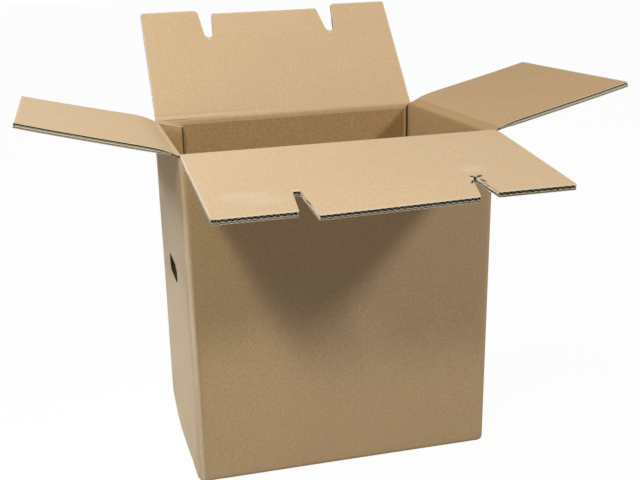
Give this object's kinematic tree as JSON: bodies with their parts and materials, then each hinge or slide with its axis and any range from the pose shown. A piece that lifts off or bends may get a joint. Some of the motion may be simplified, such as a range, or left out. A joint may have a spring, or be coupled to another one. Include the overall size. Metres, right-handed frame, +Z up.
{
  "type": "open cardboard box",
  "caption": "Tall corrugated cardboard box standing open, with hinged top flaps, locking notches in the long flaps and hand holes in the sides.",
  "frame": {"origin": "middle of the box's footprint, on the surface it stands on", "axes": "+Z up, -Y out of the front panel, +X to the right when facing the front panel"},
  "size_m": [0.8639, 0.6754, 0.6552],
  "materials": {
    "board": "matt kraft liner over double-wall corrugated board"
  },
  "bodies": {
    "box": {"carton": "board"},
    "front_flap": {"front_flap": "board"},
    "back_flap": {"back_flap": "board"},
    "left_flap": {"left_flap": "board"},
    "right_flap": {"right_flap": "board"}
  },
  "joints": [
    {"name": "front_flap_fold", "type": "hinge", "parent": "box", "child": "front_flap", "pos_m": [0, -0.159, 0.486], "axis": [-1, 0, 0], "range_deg": [-70.9, 179.7]},
    {"name": "back_flap_fold", "type": "hinge", "parent": "box", "child": "back_flap", "pos_m": [0, 0.159, 0.486], "axis": [1, 0, 0], "range_deg": [-130, 130]},
    {"name": "left_flap_fold", "type": "hinge", "parent": "box", "child": "left_flap", "pos_m": [-0.225, 0, 0.4787], "axis": [0, 1, 0], "range_deg": [-96.1, 163.9]},
    {"name": "right_flap_fold", "type": "hinge", "parent": "box", "child": "right_flap", "pos_m": [0.225, 0, 0.4787], "axis": [0, -1, 0], "range_deg": [-95.4, 164.6]}
  ]
}
